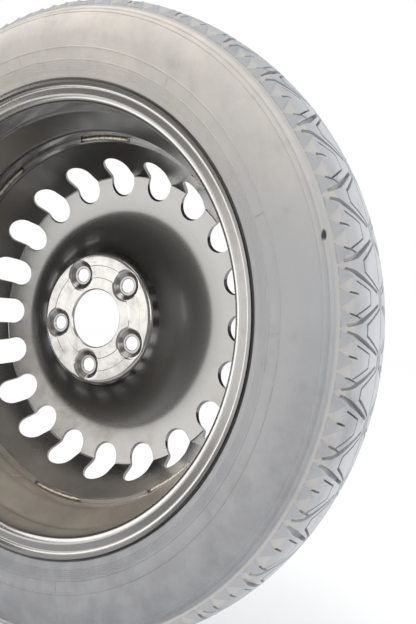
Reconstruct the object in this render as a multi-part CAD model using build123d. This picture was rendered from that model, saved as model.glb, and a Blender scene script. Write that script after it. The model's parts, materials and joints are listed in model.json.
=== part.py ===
from build123d import *
from math import cos, hypot, radians, sin, tan
import os

# Space saver spare wheel, in millimetres.
# It is drawn about the rim's centre plane and moved at the end, so that the origin is the hub face's centre.
# It spins about Y, the vehicle side faces -Y, the street side +Y and +Z is up.

# Rim
BEAD_D = 431.8
RIM_WIDTH = 101.6
RIM_SHEET = 2.6
FLANGE_H = 17.3
FLANGE_CURL_R = 9.5
FLANGE_FOOT_R = 6.0
LIP_OUT = 11.2
SEAT_TAPER = 5.0
SEAT_WIDTH = 20.8
HUMP_H = 1.4
HUMP_W = 9.0
WELL_D = 401.6
WELL_START = 3.5
WELL_END = 27.0
VALVE_TILT = 30.0

# Disc
DISC_SHEET = 3.6
OFFSET = 46.0
BORE_D = 65.1
BORE_EDGE = 1.0
PCD = 108.0
BOLT_COUNT = 5
BOLT_PHASE = 47.3
BOLT_HOLE_D = 15.5
SEAT_RING_D = 20.0
DIMPLE_D = 33.6
DIMPLE_DEPTH = 4.7
CONE_ANGLE = 60.0
CONE_DEPTH = 2.6
PAD_D = 147.6
PAD_EDGE_R = 4.0
RELIEF_IN_D = 90.6
RELIEF_OUT_D = 119.4
RELIEF_DEPTH = 0.8
BOWL_R = 56.0
BOWL_FOOT_D = 178.6
CROWN_Y = 83.4
CROWN_SLOPE = 7.5
CREST_D = 336.8
SKIRT_Y = 28.0
LAND_END_Y = 20.2
VENT_COUNT = 20
VENT_PHASE = 2.35
VENT_WIDTH = 30.0
VENT_ON_CROWN = 23.0
VENT_ON_SKIRT = 30.0

# Welds between the skirt's edge and the well
WELD_COUNT = 8
WELD_PHASE = 87.6
WELD_ARC = 19.0
WELD_SIZE = 3.4
NOTCH_DEPTH = 3.0

# Tyre
TYRE_D = 634.8
SECTION_W = 145.0
WIDEST_SHARE = 0.5576
SHOULDER_DROP = 19.8
SHOULDER_INSET = 9.7
TREAD_HALF = 53.0
TREAD_DROP = 7.9
SIDE_FOOT_RISE = 3.3
SIDE_FOOT_OUT = 6.7
SIDE_BULGE = 2.56
UPPER_BULGE = 2.5
BEAD_SEAT_W = 16.3
CURL_WRAP = 60.0
SIDEWALL = 7.5
TREAD_THICK = 14.0
PITCH_PHASE = 34.0
PITCH_ORDER = "LMSSMMLMSMLLMSSMLMLSMLSSMLMLMSSLMLSM"
PITCH_SHORT = 8.8
PITCH_MIDDLE = 10.2
PITCH_LONG = 11.0
GROOVE_WIDTH = 4.6
GROOVE_DEPTH = 4.0
GROOVE_LEAN = 0.385
GROOVE_APART = 0.95
GROOVE_OVER = 7.0
GROOVE_END_Y = 8.0

# Valve, with heights measured along its own axis from the rim's street face
VALVE_HOLE_D = 11.5
VALVE_ON_SLOPE = 7.0
BASE_D = 13.6
BASE_DEPTH = 5.6
COLLAR_D = 12.8
NECK_D = 9.6
NECK_TOP = 11.0
STEM_D = 7.7
STEM_ROOT_D = 6.2
STEM_BORE_D = 4.6
STEM_HOLE_D = 2.5
STEM_TOP = 20.5
STEM_FOOT = -7.0
CORE_FLOOR = 9.4
CORE_LENGTH = 10.1
CORE_WALL = 0.6
CORE_TOP_WALL = 3.5
PIN_D = 1.4
PIN_TOP = 20.3
PIN_COLLAR_D = 2.7
PIN_COLLAR_H = 15.0
PIN_FOOT_D = 3.0
PIN_FOOT_H = 7.5
SEAL_D = 3.6
SEAL_THICK = 1.0
SPRING_D = 2.3
SPRING_WIRE = 0.35
SPRING_TURNS = 3
CAP_D = 9.4
CAP_FOOT = 11.5
CAP_TOP = 22.5
CAP_WALL = 0.8

# Clearances
SEAT_GAP = 0.3
PRESS_GAP = 0.2
RUN_GAP = 0.06
BOND_GAP = 0.05
WELD_GAP = 0.15

AXLE = Axis.Y


def offset_line(points, distance):
    """Points of a polyline moved to its left by a distance."""
    sides = []
    for a, b in zip(points, points[1:]):
        length = hypot(b[0] - a[0], b[1] - a[1])
        sides.append(((b[0] - a[0]) / length, (b[1] - a[1]) / length))
    moved = [(points[0][0] - sides[0][1] * distance, points[0][1] + sides[0][0] * distance)]
    for corner, u, v in zip(points[1:], sides, sides[1:]):
        reach = distance / (1 + u[0] * v[0] + u[1] * v[1])
        moved.append((corner[0] - (u[1] + v[1]) * reach, corner[1] + (u[0] + v[0]) * reach))
    u = sides[-1]
    moved.append((points[-1][0] - u[1] * distance, points[-1][1] + u[0] * distance))
    return moved


def rounded_line(points, radii, flat=()):
    """Lines and tangent arcs along a polyline, with one radius for each inner corner.

    Corners whose place is in flat get the arc's chord instead.
    """
    edges = []
    start = Vector(*points[0])
    for place, (before, corner, after) in enumerate(zip(points, points[1:], points[2:])):
        radius = radii[place]
        corner = Vector(*corner)
        u = (Vector(*before) - corner).normalized()
        v = (Vector(*after) - corner).normalized()
        if radius > 0:
            half = radians(u.get_angle(v)) / 2
            tangent_a = corner + u * (radius / tan(half))
            tangent_b = corner + v * (radius / tan(half))
            bisector = (u + v).normalized()
            middle = corner + bisector * (radius / sin(half) - radius)
            edges.append(Line(start, tangent_a))
            if place in flat:
                edges.append(Line(tangent_a, tangent_b))
            else:
                edges.append(ThreePointArc(tangent_a, middle, tangent_b))
            start = tangent_b
        else:
            edges.append(Line(start, corner))
            start = corner
    edges.append(Line(start, Vector(*points[-1])))
    return edges


def sheet_face(points, radii, thickness, flat=()):
    """Face of a bent sheet: a polyline, and the same polyline moved to its left."""
    moved = offset_line(points, thickness)
    moved_radii = []
    for a, b, c, radius in zip(points, points[1:], points[2:], radii):
        turn = (b[0] - a[0]) * (c[1] - b[1]) - (b[1] - a[1]) * (c[0] - b[0])
        grown = radius - thickness if turn > 0 else radius + thickness
        moved_radii.append(max(grown, 0.0) if radius > 0 else 0.0)
    near = rounded_line(points, radii, flat)
    far = rounded_line(moved, moved_radii)
    ends = [Line(points[0], moved[0]), Line(points[-1], moved[-1])]
    return make_face(near + far + ends)


def line_face(points):
    """Face inside a closed polygon."""
    return make_face(Polyline(*points, close=True))


def ring(points):
    """Solid turned about the wheel's axle from a closed polygon of (radius, y)."""
    return revolve(line_face(points), AXLE)


def ring_arc(points, centre, span):
    """Part of a ring, centred on an angle measured from +X towards +Z."""
    return around(revolve(line_face(points), AXLE, span), centre + span / 2)


def around(piece, angle):
    """Piece turned about the axle from +X towards +Z."""
    return Rot(0, -angle, 0) * piece


def seat_radius(y):
    """Radius of the tapered bead seat at a distance from the centre plane."""
    return BEAD_D / 2 - (RIM_WIDTH / 2 - abs(y)) * tan(radians(SEAT_TAPER))


# Rim outline on the tyre's side, from the vehicle flange to the street flange
half = RIM_WIDTH / 2
flange_r = BEAD_D / 2 + FLANGE_H
well_r = WELL_D / 2
seat_end = -half + SEAT_WIDTH
hump_end = seat_end + HUMP_W
slope_rise = tan(radians(90 - VALVE_TILT))
slope_top = WELL_END + (seat_radius(WELL_END + 8) - well_r) / slope_rise
rim_line = [
    (flange_r, -half - LIP_OUT),
    (flange_r, -half),
    (BEAD_D / 2, -half),
    (seat_radius(seat_end), seat_end),
    (seat_radius(seat_end) + HUMP_H, seat_end + HUMP_W / 2),
    (seat_radius(seat_end), hump_end),
    (well_r, WELL_START),
    (well_r, WELL_END),
    (seat_radius(slope_top), slope_top),
    (BEAD_D / 2, half),
    (flange_r, half),
    (flange_r, half + LIP_OUT),
]
rim_radii = [FLANGE_CURL_R, FLANGE_FOOT_R, 0, 0, 0, 0, 0, 0, FLANGE_FOOT_R, FLANGE_CURL_R]
bead_heels = (1, 8)
rim = revolve(sheet_face(rim_line, rim_radii, RIM_SHEET, bead_heels), AXLE)

# Valve hole, square to the slope between the well and the street bead seat
slope_dir = Vector(cos(radians(VALVE_TILT)), sin(radians(VALVE_TILT)))
valve_dir = Vector(-sin(radians(VALVE_TILT)), cos(radians(VALVE_TILT)))
valve_foot = Vector(well_r, WELL_END) + slope_dir * VALVE_ON_SLOPE + valve_dir * RIM_SHEET
valve_plane = Plane(valve_foot, x_dir=(0, 0, 1), z_dir=valve_dir)
rim -= around(valve_plane * Cylinder(VALVE_HOLE_D / 2, 16), VENT_PHASE)

# Disc outline on the vehicle side, from the bore to the skirt's edge
land_r = well_r - RIM_SHEET - PRESS_GAP - DISC_SHEET
pad_r = PAD_D / 2
bowl_r = BOWL_FOOT_D / 2
crest_r = CREST_D / 2
crown_dir = Vector(cos(radians(CROWN_SLOPE)), -sin(radians(CROWN_SLOPE)))
bowl_y = CROWN_Y + (crest_r - bowl_r) * tan(radians(CROWN_SLOPE))
disc_line = [
    (BORE_D / 2, OFFSET),
    (pad_r, OFFSET),
    (bowl_r, bowl_y),
    (crest_r, CROWN_Y),
    (land_r, SKIRT_Y),
    (land_r, LAND_END_Y),
]
disc_radii = [PAD_EDGE_R, BOWL_R, 0, 0]
disc = revolve(sheet_face(disc_line, disc_radii, DISC_SHEET), AXLE)

# Bolt seats: a boss on the street side, a dimple on the vehicle side and a cone for the bolt
pad_back = OFFSET + DISC_SHEET
dimple_r = DIMPLE_D / 2
seat_ring_r = SEAT_RING_D / 2
hole_r = BOLT_HOLE_D / 2
boss_top = pad_back + DIMPLE_DEPTH
boss_face = line_face([
    (0, OFFSET + 1),
    (dimple_r, OFFSET + 1),
    (seat_ring_r + 4, boss_top),
    (0, boss_top),
])
cone_wide = hole_r + CONE_DEPTH * tan(radians(CONE_ANGLE / 2))
dimple_face = line_face([
    (0, OFFSET - 1),
    (dimple_r, OFFSET - 1),
    (dimple_r, OFFSET),
    (seat_ring_r, OFFSET + DIMPLE_DEPTH),
    (hole_r, OFFSET + DIMPLE_DEPTH),
    (hole_r, boss_top - CONE_DEPTH),
    (cone_wide, boss_top),
    (cone_wide, boss_top + 1),
    (0, boss_top + 1),
])
bolt_shift = Pos(PCD / 2, 0, 0)
relief = ring([
    (RELIEF_IN_D / 2, OFFSET - 1),
    (RELIEF_OUT_D / 2, OFFSET - 1),
    (RELIEF_OUT_D / 2, OFFSET + RELIEF_DEPTH),
    (RELIEF_IN_D / 2, OFFSET + RELIEF_DEPTH),
])
bore_edge = ring([
    (BORE_D / 2 - 1, OFFSET - 1),
    (BORE_D / 2 + BORE_EDGE + 1, OFFSET - 1),
    (BORE_D / 2 - 1, OFFSET + BORE_EDGE + 1),
])
bolt_angles = [BOLT_PHASE + k * 360 / BOLT_COUNT for k in range(BOLT_COUNT)]
bosses = [around(bolt_shift * revolve(boss_face, AXLE), a) for a in bolt_angles]
dimples = [around(bolt_shift * revolve(dimple_face, AXLE), a) for a in bolt_angles]
disc = disc + bosses
disc = disc - relief - bore_edge
disc = disc - dimples

# Vent holes, punched square to the bend between crown and skirt
skirt_dir = Vector(land_r - crest_r, SKIRT_Y - CROWN_Y).normalized()
crown_normal = Vector(crown_dir.Y, -crown_dir.X)
punch_dir = (crown_normal + Vector(skirt_dir.Y, -skirt_dir.X)).normalized()
across = Vector(punch_dir.Y, -punch_dir.X)
crown_reach = VENT_ON_CROWN * abs(across.dot(crown_dir))
skirt_reach = VENT_ON_SKIRT * abs(across.dot(skirt_dir))
vent_centre = Vector(crest_r, CROWN_Y) + across * ((crown_reach - skirt_reach) / 2)
vent_plane = Plane(vent_centre, x_dir=across, z_dir=punch_dir)
vent = extrude(vent_plane * SlotOverall(crown_reach + skirt_reach, VENT_WIDTH), 24, both=True)
disc = disc - [around(vent, VENT_PHASE + k * 360 / VENT_COUNT) for k in range(VENT_COUNT)]

# Notches in the skirt's edge, and the weld laid in each
notch_face = [
    (land_r - 2, LAND_END_Y - 2),
    (land_r + DISC_SHEET + 2, LAND_END_Y - 2),
    (land_r + DISC_SHEET + 2, LAND_END_Y + NOTCH_DEPTH),
    (land_r - 2, LAND_END_Y + NOTCH_DEPTH),
]
weld_foot = land_r + DISC_SHEET + PRESS_GAP - WELD_GAP
weld_back = LAND_END_Y + NOTCH_DEPTH - WELD_GAP
weld_face = [
    (weld_foot, weld_back),
    (weld_foot, weld_back - WELD_SIZE - 1),
    (weld_foot - WELD_SIZE * 0.55, weld_back - WELD_SIZE * 0.75),
    (weld_foot - WELD_SIZE, weld_back),
]
weld_angles = [WELD_PHASE + k * 360 / WELD_COUNT for k in range(WELD_COUNT)]
disc = disc - [ring_arc(notch_face, a, WELD_ARC + 0.4) for a in weld_angles]
weld_beads = Compound(children=[ring_arc(weld_face, a, WELD_ARC) for a in weld_angles])

# Tyre section
tyre_r = TYRE_D / 2
tread_edge_r = tyre_r - TREAD_DROP
section_y = SECTION_W / 2
widest = (BEAD_D / 2 + (tyre_r - BEAD_D / 2) * WIDEST_SHARE, section_y)
shoulder = (tyre_r - SHOULDER_DROP, section_y - SHOULDER_INSET)
side_foot = (flange_r + SIDE_FOOT_RISE, half + SIDE_FOOT_OUT)
toe_y = half - BEAD_SEAT_W
toe_r = seat_radius(toe_y) + SEAT_GAP


def bulged(start, end, bulge):
    """Middle of a slightly bowed line between two points, moved to its left."""
    length = hypot(end[0] - start[0], end[1] - start[1])
    out = (start[1] - end[1]) / length * bulge, (end[0] - start[0]) / length * bulge
    return (start[0] + end[0]) / 2 + out[0], (start[1] + end[1]) / 2 + out[1]


side_mid = bulged(side_foot, widest, SIDE_BULGE)
upper_mid = bulged(widest, shoulder, UPPER_BULGE)


def curl_point(angle):
    """Point of the tyre against the flange's curl, by the angle from the flange's wall."""
    reach = (FLANGE_CURL_R + SEAT_GAP) / cos(radians(CURL_WRAP / 4))
    radius = flange_r - FLANGE_CURL_R + reach * sin(radians(angle))
    return radius, half + FLANGE_CURL_R - reach * cos(radians(angle))


def tyre_side(sign):
    """Outer outline of one sidewall, from the bead's toe to the tread's edge."""
    heel_y = half - FLANGE_FOOT_R
    outline = [
        (toe_r, toe_y),
        (seat_radius(heel_y) + SEAT_GAP, heel_y - SEAT_GAP),
        (BEAD_D / 2 + FLANGE_FOOT_R + SEAT_GAP, half - SEAT_GAP),
        curl_point(CURL_WRAP / 4),
        curl_point(CURL_WRAP * 3 / 4),
        side_foot,
        side_mid,
        widest,
        upper_mid,
        shoulder,
        (tread_edge_r, TREAD_HALF),
    ]
    outline = [(r, sign * y) for r, y in outline]
    straight = outline[:6]
    return [
        Polyline(*straight),
        ThreePointArc(*outline[5:8]),
        ThreePointArc(*outline[7:10]),
        Line(*outline[9:]),
    ]


crown = ThreePointArc((tread_edge_r, -TREAD_HALF), (tyre_r, 0), (tread_edge_r, TREAD_HALF))
liner_r = tyre_r - TREAD_THICK
liner_half = [
    (toe_r, toe_y),
    (side_mid[0], side_mid[1] - SIDEWALL),
    (shoulder[0] - SIDEWALL * 1.4, shoulder[1] - SIDEWALL * 0.6),
    (liner_r, TREAD_HALF - SIDEWALL * 1.6),
]
liner = Polyline(*[(r, -y) for r, y in liner_half], *reversed(liner_half))
tyre = revolve(make_face(tyre_side(-1) + [crown] + tyre_side(1) + [liner]), AXLE)

# Tread grooves: each pitch has a pair at each shoulder, and the two lean together towards the middle.
# The pitches have three lengths in a mixed order, which keeps the tyre from humming.
groove_start = TREAD_HALF + GROOVE_OVER
groove_low = tread_edge_r - GROOVE_DEPTH
groove_out = tyre_r + 5
groove_plane = Plane((groove_low - GROOVE_DEPTH, 0, 0), x_dir=(0, 1, 0), z_dir=(1, 0, 0))
groove_floor = ThreePointArc((groove_low, -groove_start), (tyre_r - GROOVE_DEPTH, 0), (groove_low, groove_start))
band_rim = Polyline(
    (groove_low, groove_start),
    (groove_out, groove_start),
    (groove_out, -groove_start),
    (groove_low, -groove_start),
)
groove_band = around(revolve(make_face([groove_floor, band_rim]), AXLE, 20), 10)


def leaning_groove(turn):
    """Groove from the vehicle shoulder towards the middle, which leans round the tread by a turn."""
    lean = tyre_r * radians(turn)
    plan = line_face([
        (-groove_start, -GROOVE_WIDTH / 2),
        (-groove_start, GROOVE_WIDTH / 2),
        (-GROOVE_END_Y, GROOVE_WIDTH / 4 + lean),
        (-GROOVE_END_Y, -GROOVE_WIDTH / 4 + lean),
    ])
    return extrude(groove_plane * plan, groove_out - groove_low + GROOVE_DEPTH) & groove_band


pitch_sizes = {"S": PITCH_SHORT, "M": PITCH_MIDDLE, "L": PITCH_LONG}
whole_turn = sum(pitch_sizes[kind] for kind in PITCH_ORDER)
pitch_turns = {kind: size * 360 / whole_turn for kind, size in pitch_sizes.items()}
pairs = {}
for kind, turn in pitch_turns.items():
    first = leaning_groove(-turn * GROOVE_LEAN)
    second = around(leaning_groove(turn * GROOVE_LEAN), -turn * GROOVE_APART)
    far = [mirror(piece, about=Plane.XZ) for piece in (first, second)]
    pairs[kind] = [first, second, *far]
grooves = []
angle = PITCH_PHASE
for kind in PITCH_ORDER:
    grooves += [around(piece, angle) for piece in pairs[kind]]
    angle -= pitch_turns[kind]
tyre = tyre - grooves


def valve_turned(points):
    """Solid turned about the valve's axis from (radius, height) and set in the rim."""
    face = make_face(Polyline(*[(r, 0, h) for r, h in points], close=True))
    return around(valve_plane * revolve(face, Axis.Z), VENT_PHASE)


stem_r = STEM_D / 2
root_r = STEM_ROOT_D / 2
bore_r = STEM_BORE_D / 2
pin_r = PIN_D / 2
base_top = -RIM_SHEET - PRESS_GAP
valve_body = valve_turned([
    (root_r + BOND_GAP, base_top - BASE_DEPTH),
    (VALVE_HOLE_D / 2 - PRESS_GAP, base_top - BASE_DEPTH),
    (BASE_D / 2, base_top),
    (VALVE_HOLE_D / 2 - PRESS_GAP, base_top),
    (VALVE_HOLE_D / 2 - PRESS_GAP, PRESS_GAP),
    (COLLAR_D / 2, PRESS_GAP),
    (NECK_D / 2, PRESS_GAP + 6),
    (NECK_D / 2, NECK_TOP),
    (root_r + BOND_GAP, NECK_TOP),
])
bore_floor = PIN_FOOT_H - 2
valve_stem = valve_turned([
    (STEM_HOLE_D / 2, STEM_FOOT),
    (root_r, STEM_FOOT),
    (root_r, NECK_TOP + BOND_GAP),
    (stem_r, NECK_TOP + BOND_GAP),
    (stem_r, STEM_TOP),
    (bore_r, STEM_TOP),
    (bore_r, bore_floor),
    (STEM_HOLE_D / 2, bore_floor),
])
core_r = bore_r - BOND_GAP
core_top = CORE_FLOOR + CORE_LENGTH
valve_core = valve_turned([
    (pin_r + 0.3, CORE_FLOOR),
    (core_r, CORE_FLOOR),
    (core_r, core_top),
    (pin_r + RUN_GAP, core_top),
    (pin_r + RUN_GAP, core_top - CORE_TOP_WALL),
    (core_r - CORE_WALL, core_top - CORE_TOP_WALL),
    (core_r - CORE_WALL, CORE_FLOOR + 1),
    (pin_r + 0.3, CORE_FLOOR + 1),
])
foot_top = CORE_FLOOR - 0.1 - SEAL_THICK - BOND_GAP
core_pin = valve_turned([
    (0, PIN_FOOT_H),
    (PIN_FOOT_D / 2, PIN_FOOT_H),
    (PIN_FOOT_D / 2, foot_top),
    (pin_r, foot_top),
    (pin_r, PIN_COLLAR_H),
    (PIN_COLLAR_D / 2, PIN_COLLAR_H),
    (PIN_COLLAR_D / 2, PIN_COLLAR_H + 0.6),
    (pin_r, PIN_COLLAR_H + 0.6),
    (pin_r, PIN_TOP),
    (0, PIN_TOP),
])
core_seal = valve_turned([
    (pin_r + BOND_GAP, foot_top + BOND_GAP),
    (SEAL_D / 2, foot_top + BOND_GAP),
    (SEAL_D / 2, foot_top + BOND_GAP + SEAL_THICK),
    (pin_r + BOND_GAP, foot_top + BOND_GAP + SEAL_THICK),
])
spring_low = CORE_FLOOR + 1 + SPRING_WIRE / 2 + BOND_GAP
spring_high = PIN_COLLAR_H - SPRING_WIRE / 2 - BOND_GAP
spring_run = spring_high - spring_low
spring_path = Helix(spring_run / SPRING_TURNS, spring_run, SPRING_D / 2)
wire_plane = Plane((SPRING_D / 2, 0, 0), x_dir=(1, 0, 0), z_dir=(0, 1, 0))
spring_coil = sweep(wire_plane * Rectangle(SPRING_WIRE, SPRING_WIRE), spring_path, is_frenet=True)
core_spring = around(valve_plane * (Pos(0, 0, spring_low) * spring_coil), VENT_PHASE)
cap_bore = stem_r + RUN_GAP
valve_cap = valve_turned([
    (cap_bore, CAP_FOOT),
    (CAP_D / 2, CAP_FOOT),
    (CAP_D / 2, CAP_TOP - 1),
    (CAP_D / 2 - 1, CAP_TOP),
    (0, CAP_TOP),
    (0, CAP_TOP - CAP_WALL),
    (cap_bore, CAP_TOP - CAP_WALL),
])
cap_seal = valve_turned([
    (0, STEM_TOP + 0.15),
    (stem_r - 0.15, STEM_TOP + 0.15),
    (stem_r - 0.15, CAP_TOP - CAP_WALL - BOND_GAP),
    (0, CAP_TOP - CAP_WALL - BOND_GAP),
])

NODES = {
    "tyre": tyre,
    "rim": rim,
    "disc": disc,
    "weld_beads": weld_beads,
    "valve_body": valve_body,
    "valve_stem": valve_stem,
    "valve_core": valve_core,
    "core_pin": core_pin,
    "core_seal": core_seal,
    "core_spring": core_spring,
    "valve_cap": valve_cap,
    "cap_seal": cap_seal,
}
os.makedirs("parts", exist_ok=True)
for name, solid in NODES.items():
    export_step(Pos(0, -OFFSET, 0) * solid, f"parts/{name}.step")
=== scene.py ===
"""Space saver spare wheel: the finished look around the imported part."""

import json
from math import atan2, cos, hypot, pi, radians, sin, sqrt, tan

import bmesh
import bpy
from bmesh.types import BMEdge, BMFace, BMVert
from bpy.props import FloatProperty, FloatVectorProperty, IntProperty, PointerProperty
from mathutils import Matrix, Vector

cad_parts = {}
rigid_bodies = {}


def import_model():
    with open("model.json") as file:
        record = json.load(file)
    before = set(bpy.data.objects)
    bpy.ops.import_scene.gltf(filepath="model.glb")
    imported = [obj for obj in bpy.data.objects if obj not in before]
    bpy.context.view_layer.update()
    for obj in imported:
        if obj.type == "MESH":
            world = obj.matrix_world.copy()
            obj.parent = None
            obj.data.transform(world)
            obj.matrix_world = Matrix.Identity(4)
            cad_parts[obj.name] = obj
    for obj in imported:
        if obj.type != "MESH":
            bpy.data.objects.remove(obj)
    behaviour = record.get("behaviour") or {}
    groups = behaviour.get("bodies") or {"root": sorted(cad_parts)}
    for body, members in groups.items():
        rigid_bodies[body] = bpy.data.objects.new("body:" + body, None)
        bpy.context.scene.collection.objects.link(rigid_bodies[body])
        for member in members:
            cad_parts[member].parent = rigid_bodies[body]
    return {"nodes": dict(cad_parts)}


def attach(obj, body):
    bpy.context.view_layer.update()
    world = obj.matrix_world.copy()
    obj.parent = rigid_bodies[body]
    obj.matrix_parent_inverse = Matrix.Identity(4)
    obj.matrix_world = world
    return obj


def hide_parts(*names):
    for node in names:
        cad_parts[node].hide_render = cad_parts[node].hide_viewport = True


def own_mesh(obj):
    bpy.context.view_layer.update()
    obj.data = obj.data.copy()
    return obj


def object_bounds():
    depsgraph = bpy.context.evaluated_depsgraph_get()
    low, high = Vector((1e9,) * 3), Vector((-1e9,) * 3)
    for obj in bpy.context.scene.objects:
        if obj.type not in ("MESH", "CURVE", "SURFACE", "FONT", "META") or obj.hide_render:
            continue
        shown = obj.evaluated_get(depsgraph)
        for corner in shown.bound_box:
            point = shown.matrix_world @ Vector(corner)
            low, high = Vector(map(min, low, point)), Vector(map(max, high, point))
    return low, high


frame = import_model()
cad_box = [list(corner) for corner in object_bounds()]

bl_info = {
    "name": "Space saver spare wheel",
    "version": (1, 0, 0),
    "blender": (4, 5, 0),
    "location": "View3D > Sidebar > Spare wheel",
    "description": "Models the tyre, rim, disc, welds and valve around the packed part, with a stage",
    "category": "Add Mesh",
}

# Lengths are in millimetres from the rim's centre plane, as the wheel is drawn, and TO_FRAME moves a
# finished mesh to metres from the hub face.
MM = 0.001
HUB_FACE = 46.0
TO_FRAME = Matrix.Scale(MM, 4) @ Matrix.Translation((0, -HUB_FACE, 0))
ROUND = 2 * pi

# Points nearer than TOUCH are one point. SLACK and PAST keep a cut clear of an end or a face.
TOUCH = 1e-4
SLACK = 1e-3
PAST = 1.0

# Rim
BEAD_R = 215.9
RIM_HALF = 50.8
RIM_SHEET = 2.6
FLANGE_R = 231.0
LIP_OUT = 8.0
SEAT_TAPER = 5.0
SEAT_END = -30.0
HUMP_H = 1.4
HUMP_W = 9.0
WELL_R = 200.8
WELL_START = 3.5
WELL_END = 27.0
WELL_SLOPE_RUN = 8.0
RIM_RADII = (6.4, 4.6, 5.0, 4.0, 6.0, 12.0, 7.0, 5.0, 4.6, 6.4)

# Disc
DISC_SHEET = 3.6
BORE_R = 32.55
BORE_EDGE = 1.0
BOLT_CIRCLE_R = 54.0
BOLT_COUNT = 5
BOLT_PHASE = 47.3
BOLT_HOLE_R = 7.75
SEAT_RING_R = 10.0
DIMPLE_R = 16.8
DIMPLE_DEPTH = 4.7
DIMPLE_MARGIN = 3.0
DIMPLE_RADII = (0, 0, 0, 4.5, 1.6, 0, 0, 0, 0, 0, 0)
SKIM = 0.02
BOSS_FOOT = 1.2
BOSS_EDGE = 4.0
BOSS_FLARE = 0.4
BOSS_RADII = (0, 0, 0, 2.5, 0)
SEAT_EDGE = 0.8
CONE_DEPTH = 2.6
CONE_FLARE = 1.5
HOLE_EDGE = 0.5
PAD_R = 73.8
RELIEF_IN_R = 45.3
RELIEF_OUT_R = 59.7
RELIEF_DEPTH = 0.5
RELIEF_RUN = 0.6
BOWL_FOOT_R = 89.3
CROWN_Y = 82.6
CROWN_SLOPE = 8.6
CREST_R = 168.4
LAND_R = 194.4
SKIRT_Y = 28.0
LAND_END_Y = 20.2
DISC_RADII = (6.0, 55.0, 2.5, 5.0)
VENT_COUNT = 20
VENT_PHASE = 2.35
VENT_WIDTH = 31.6
VENT_ON_CROWN = 23.6
VENT_ON_SKIRT = 32.4
PUNCH_LENGTH = 48.0

# Welds
WELD_COUNT = 8
WELD_PHASE = 87.6
WELD_ARC = 19.0
NOTCH_ARC = WELD_ARC + 0.4
NOTCH_DEPTH = 3.0
NOTCH_MARGIN = 2.0
RUN_AT = Vector((196.4, 21.6))
RUN_SIZE = 2.45
RUN_ARC = WELD_ARC - 0.6
RUN_STEPS = 72
RUN_END_SIZE = 0.25
RUN_END_TAPER = 9
RIPPLE_MEAN = 0.92
RIPPLES = ((0.12, 330, 0.0), (0.10, 121, 1.7))

# Tyre
TYRE_R = 317.25
TREAD_HALF = 53.0
TREAD_EDGE_R = 309.5
SHOULDER_R = 297.6
SHOULDER_Y = 62.8
UPPER_MID = (286.5, 69.9)
WIDEST = (272.5, 72.49)
SIDE_MID = (258.4, 69.2)
SIDE_FOOT = (233.0, 57.4)
LINER_R = 303.4
SIDEWALL = 7.5

# Section of the sidewall: ribs as (radius, width, height), plain radii between them, then points as
# (radius, y) by the rim and inside
RIBS = (
    (295.6, 2.6, 0.8), (291.6, 2.2, 0.7), (258.4, 1.6, 0.5), (248.0, 1.4, 0.5),
    *((245.6 - 1.5 * k, 0.9, 0.3) for k in range(5)),
)
PLAIN_RADII = (288, 284, 280, 276, 272.5, 269, 265, 262, 255, 251.5, 238.0, 233.8)
CURL = ((231.4, 50.75), (227.2, 50.5))
TYRE_BEAD = ((222.2, 50.5), (215.68, 44.5), (214.77, 34.5))
LINER = (
    (SIDE_MID[0], SIDE_MID[1] - SIDEWALL),
    (SHOULDER_R - SIDEWALL * 1.4, SHOULDER_Y - SIDEWALL * 0.6),
    (LINER_R, TREAD_HALF - SIDEWALL * 1.6),
    (LINER_R, 1.0),
)
SHOULDER_STEP = 0.3
MOULD_LINES = (8, 29, 63, 104, 122, 160, 205, 248, 291, 333)
MOULD_LINE_R = 252.9
MOULD_LINE_SIZE = (8.6, 0.7, 0.7)
MOULD_LINE_REACH = 4
MOULD_LINE_STAGGER = 5

# Tread plan. A groove is a line of (share of the pitch, y) with its widths, on the vehicle half. TRIANGLE
# is a shoulder pad in the same measures, from its tip. GROOVE and PAD mark the faces of each kind.
PITCH_ORDER = "LMSSMMLMSMLLMSSMLMLSMLSSMLMLMSSLMLSM"
PITCH_SIZES = {"S": 8.8, "M": 10.2, "L": 11.0}
PITCHES = len(PITCH_ORDER)
FIRST_PITCH = 33.7
PLAN_PITCH = TYRE_R * ROUND / PITCHES
PLAN_START = -0.05
PLAN_EDGE = 60.6
EDGE_BAND = 0.5
PITCH_MERGE = 0.02
MIRROR_SHARE = 0.9
GROOVES = (
    (((0.0, -56.5), (0.08, -47.0), (0.36, -8.0)), (2.4, 4.6, 2.8)),
    (((0.90, -56.5), (0.82, -42.0), (0.55, -8.0)), (2.4, 4.4, 2.8)),
    (((0.20, -48.0), (0.34, -26.0), (0.56, -26.0), (0.73, -49.5)), (1.5, 1.5, 1.5, 1.5)),
    (((0.37, -55.0), (0.41, -46.0)), (2.0, 1.6)),
    (((0.71, -55.5), (0.79, -43.0)), (2.0, 2.0)),
    (
        ((-0.12, -32.5), (0.05, -32.5), (0.32, -4.0), (0.61, -4.0), (0.88, -32.5), (1.05, -32.5)),
        (2.3,) * 6,
    ),
)
CENTRE_GROOVE = (((-0.2, 0.0), (1.2, 0.0)), (1.6, 1.6))
TRIANGLE_TIPS = (-0.05, 0.283, 0.617)
TRIANGLE = ((0.02, -60.0), (0.313, -60.0), (0.167, -52.6))
GROOVE, PAD = 1, 2
RUBBED_KIND = (1.9, 1.6)

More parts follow.
